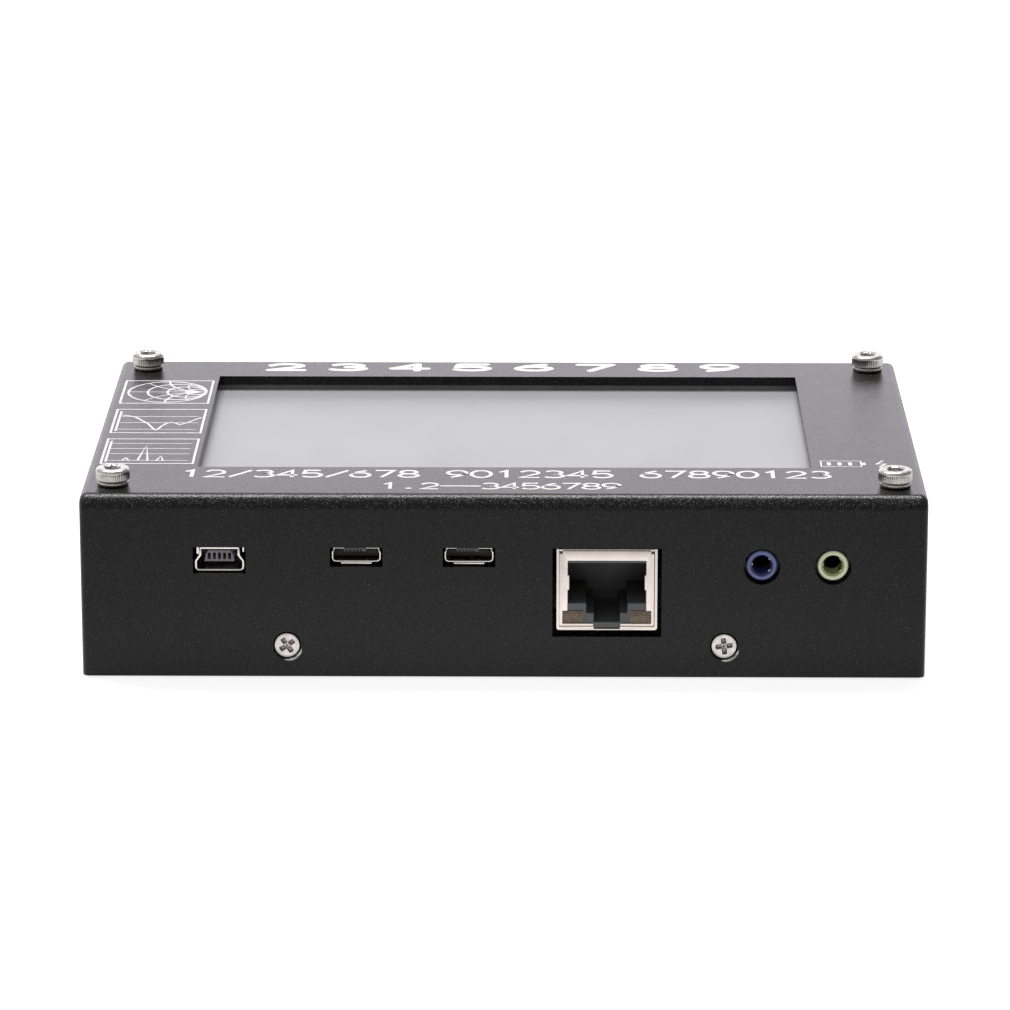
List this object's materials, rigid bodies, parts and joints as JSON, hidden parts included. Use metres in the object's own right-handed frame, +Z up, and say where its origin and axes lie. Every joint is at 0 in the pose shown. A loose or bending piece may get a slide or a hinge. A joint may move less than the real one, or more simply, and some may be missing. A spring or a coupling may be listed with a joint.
{
  "type": "antenna analyzer",
  "caption": "Handheld antenna analyzer in a black sheet case: recessed touch display on top, computer sockets in front, coaxial antenna socket and power rocker at the rear.",
  "frame": {"origin": "centre of the flat underside of the case", "axes": "+X to the right seen from the connector face, +Y from the connector face towards the antenna socket, +Z up out of the display"},
  "size_m": [0.1335, 0.1016, 0.0323],
  "materials": {
    "case_coat": "fine-grained black powder coat, satin",
    "stainless": "bright stainless steel",
    "nickel": "nickel plate",
    "brass_plate": "gold plate on brass",
    "black_plastic": "matte moulded plastic",
    "grey_plastic": "grey moulded plastic",
    "gloss_black": "gloss moulded plastic",
    "lamp_amber": "clear tinted plastic",
    "blue_plastic": "periwinkle blue plastic",
    "green_plastic": "pale green plastic",
    "white_plastic": "white plastic",
    "display_face": "dark grey liquid crystal panel under a touch film",
    "foam": "closed-cell foam",
    "board_green": "green solder mask",
    "board_blue": "blue solder mask",
    "chip_black": "epoxy package",
    "ceramic_tan": "ceramic capacitor",
    "tinned_steel": "tinned sheet",
    "cell_foil": "pouch foil",
    "red_sheath": "red insulation",
    "black_sheath": "black insulation",
    "brown_sheath": "brown coax jacket",
    "led_red": "tinted epoxy lens"
  },
  "bodies": {
    "case": {"top_cover": "case_coat", "bottom_tray": "case_coat", "tray_screws": "nickel", "tray_nuts": "stainless", "cover_screws": "stainless", "lock_washers": "stainless", "cover_spacers": "nickel", "board_nuts": "nickel", "window_gasket": "foam", "display_glass": "display_face", "display_backlight": "white_plastic", "display_frame": "tinned_steel", "display_pads": "foam", "main_board": "board_green", "microcontroller": "chip_black", "board_chips": "chip_black", "board_crystals": "tinned_steel", "board_passives": "ceramic_tan", "card_socket": "nickel", "memory_card": "gloss_black", "button_switches": "black_plastic", "button_domes": "nickel", "mini_usb_shell": "nickel", "mini_usb_insert": "grey_plastic", "mini_usb_contacts": "brass_plate", "micro_usb_shells": "nickel", "micro_usb_inserts": "black_plastic", "micro_usb_contacts": "brass_plate", "network_shield": "nickel", "network_housing": "black_plastic", "network_light_pipes": "lamp_amber", "network_contacts": "brass_plate", "line_in_jack": "blue_plastic", "line_out_jack": "green_plastic", "jack_contacts": "nickel", "header_sockets": "black_plastic", "header_strips": "black_plastic", "rf_board": "board_blue", "rf_shield_can": "tinned_steel", "rf_chips": "chip_black", "antenna_connector": "nickel", "connector_core": "white_plastic", "connector_pin": "brass_plate", "connector_screws": "nickel", "connector_nuts": "nickel", "antenna_coax": "brown_sheath", "power_switch_body": "black_plastic", "power_switch_terminals": "brass_plate", "switch_leads": "black_sheath", "battery_tape": "foam", "battery_cell": "cell_foil", "battery_leads": "red_sheath", "charger_pad": "foam", "charger_board": "board_blue", "charge_socket": "nickel", "charge_insert": "black_plastic", "charge_led": "led_red"},
    "rocker": {"power_switch_rocker": "gloss_black"},
    "user_plunger": {"user_button": "blue_plastic"},
    "reset_plunger": {"reset_button": "gloss_black"}
  },
  "joints": [
    {"name": "power_rock", "type": "hinge", "parent": "case", "child": "rocker", "pos_m": [0.044, 0.0432, 0.012], "axis": [0, 0, 1], "range_deg": [0, 22]},
    {"name": "user_press", "type": "slide", "parent": "case", "child": "user_plunger", "axis": [0, 0, -1], "range_m": [0, 0.00025], "stiffness_N_per_m": 400, "springref_m": -0.0005},
    {"name": "reset_press", "type": "slide", "parent": "case", "child": "reset_plunger", "axis": [0, 0, -1], "range_m": [0, 0.00025], "stiffness_N_per_m": 400, "springref_m": -0.0005}
  ]
}
